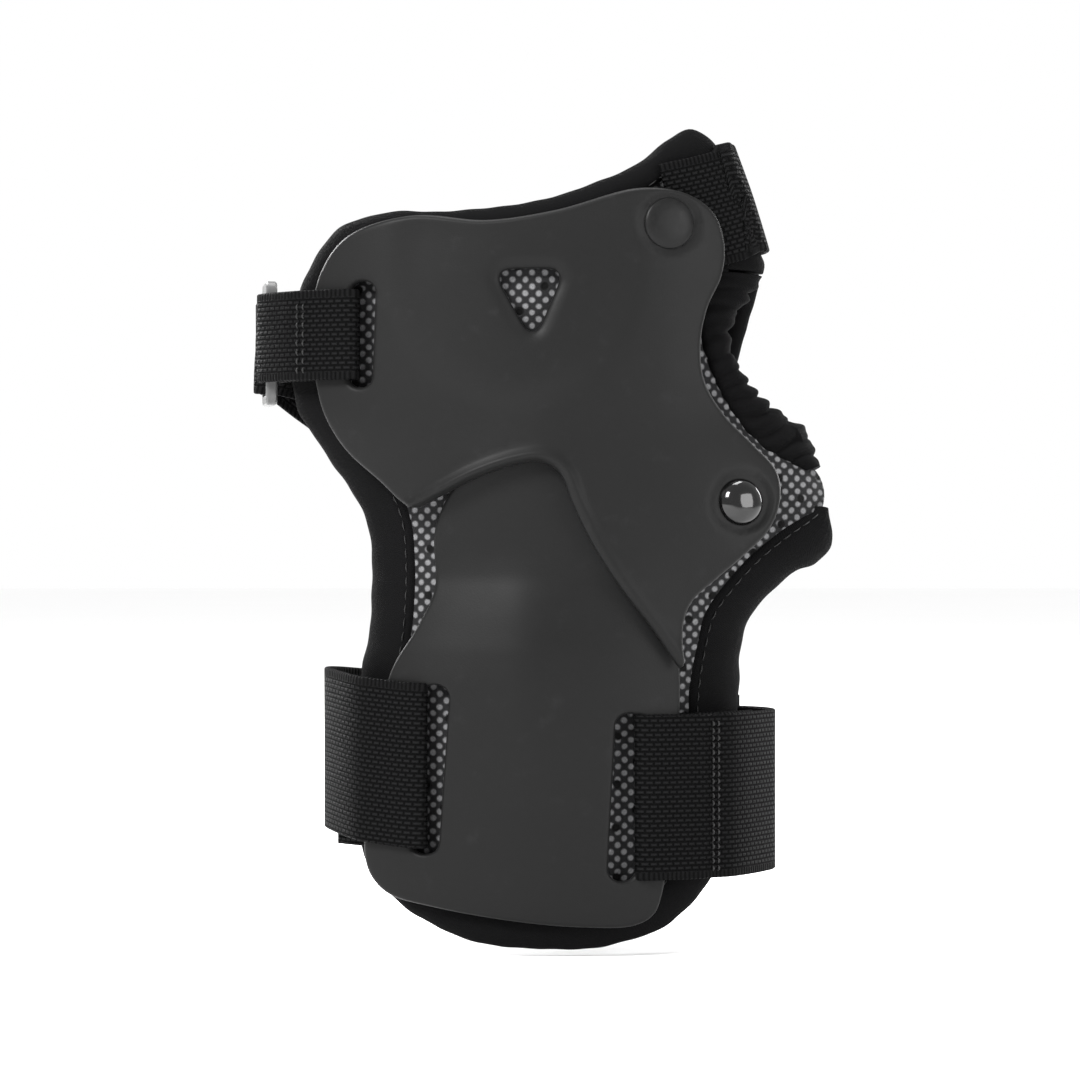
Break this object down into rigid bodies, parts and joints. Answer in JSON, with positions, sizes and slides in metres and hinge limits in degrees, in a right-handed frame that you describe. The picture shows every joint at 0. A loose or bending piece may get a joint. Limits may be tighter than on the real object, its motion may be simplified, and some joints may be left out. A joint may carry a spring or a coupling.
{
  "type": "wrist guard",
  "caption": "Padded wrist guard for skating and snow sports, with a moulded palm plate, a forearm splint and webbing straps that close on the back.",
  "frame": {"origin": "on the wrist's long axis, level with the lowest hem of the cuff", "axes": "+Z towards the fingers, -Y out of the palm plate, +X towards the thumb"},
  "size_m": [0.1312, 0.067, 0.1811],
  "materials": {
    "net_fabric": "dark net with light grey dots",
    "foam": "soft closed-cell foam",
    "lining_fabric": "brushed lining with a sparse light print",
    "binding": "soft stretch binding",
    "gathered_binding": "gathered elastic binding",
    "plate_plastic": "matt moulded plastic",
    "splint_plastic": "matt moulded plastic",
    "rivet_matt": "satin black",
    "rivet_gloss": "gloss black",
    "washer_metal": "satin black",
    "webbing": "ribbed polypropylene webbing",
    "hook_tape": "moulded hooks",
    "loop_tape": "brushed loops",
    "ring_plastic": "moulded grey plastic",
    "pad_fabric": "smooth knitted cover",
    "label_fabric": "smooth blank patch",
    "thread": "black thread"
  },
  "bodies": {
    "root": {"outer_mesh": "net_fabric", "foam_core": "foam", "lining": "lining_fabric", "edge_binding": "binding", "thumb_binding_front": "gathered_binding", "forearm_splint": "splint_plastic", "palm_plate": "plate_plastic", "upper_rivet": "rivet_matt", "thumb_rivet": "rivet_gloss", "rivet_washers": "washer_metal", "hand_flap": "net_fabric", "thumb_binding_back": "binding", "wing_binding": "binding", "hand_strap": "webbing", "wrist_loop_patch": "loop_tape", "ring_strap": "webbing", "ring_loop": "webbing", "cuff_strap_root": "webbing", "cuff_strap_short": "webbing", "cuff_loop_patch": "loop_tape", "bar_tacks": "thread"},
    "cuff_tab": {"cuff_strap_tab": "webbing", "cuff_pad": "pad_fabric", "cuff_hook_patch": "hook_tape", "label_patch": "label_fabric", "label_stitching": "thread"},
    "wrist_strap": {"wrist_strap": "webbing", "wrist_hook_patch": "hook_tape"},
    "ring": {"strap_ring": "ring_plastic"}
  },
  "joints": [
    {"name": "cuff_peel", "type": "hinge", "parent": "root", "child": "cuff_tab", "pos_m": [-0.033, 0.02517, 0.039], "axis": [0, 0, 1], "range_deg": [0, 115]},
    {"name": "wrist_peel", "type": "hinge", "parent": "root", "child": "wrist_strap", "pos_m": [-0.0138, 0.0263, 0.0962], "axis": [0, 0, 1], "range_deg": [0, 110]},
    {"name": "ring_slide", "type": "slide", "parent": "root", "child": "ring", "axis": [0, 0, 1], "range_m": [-0.0012, 0.0012]}
  ]
}
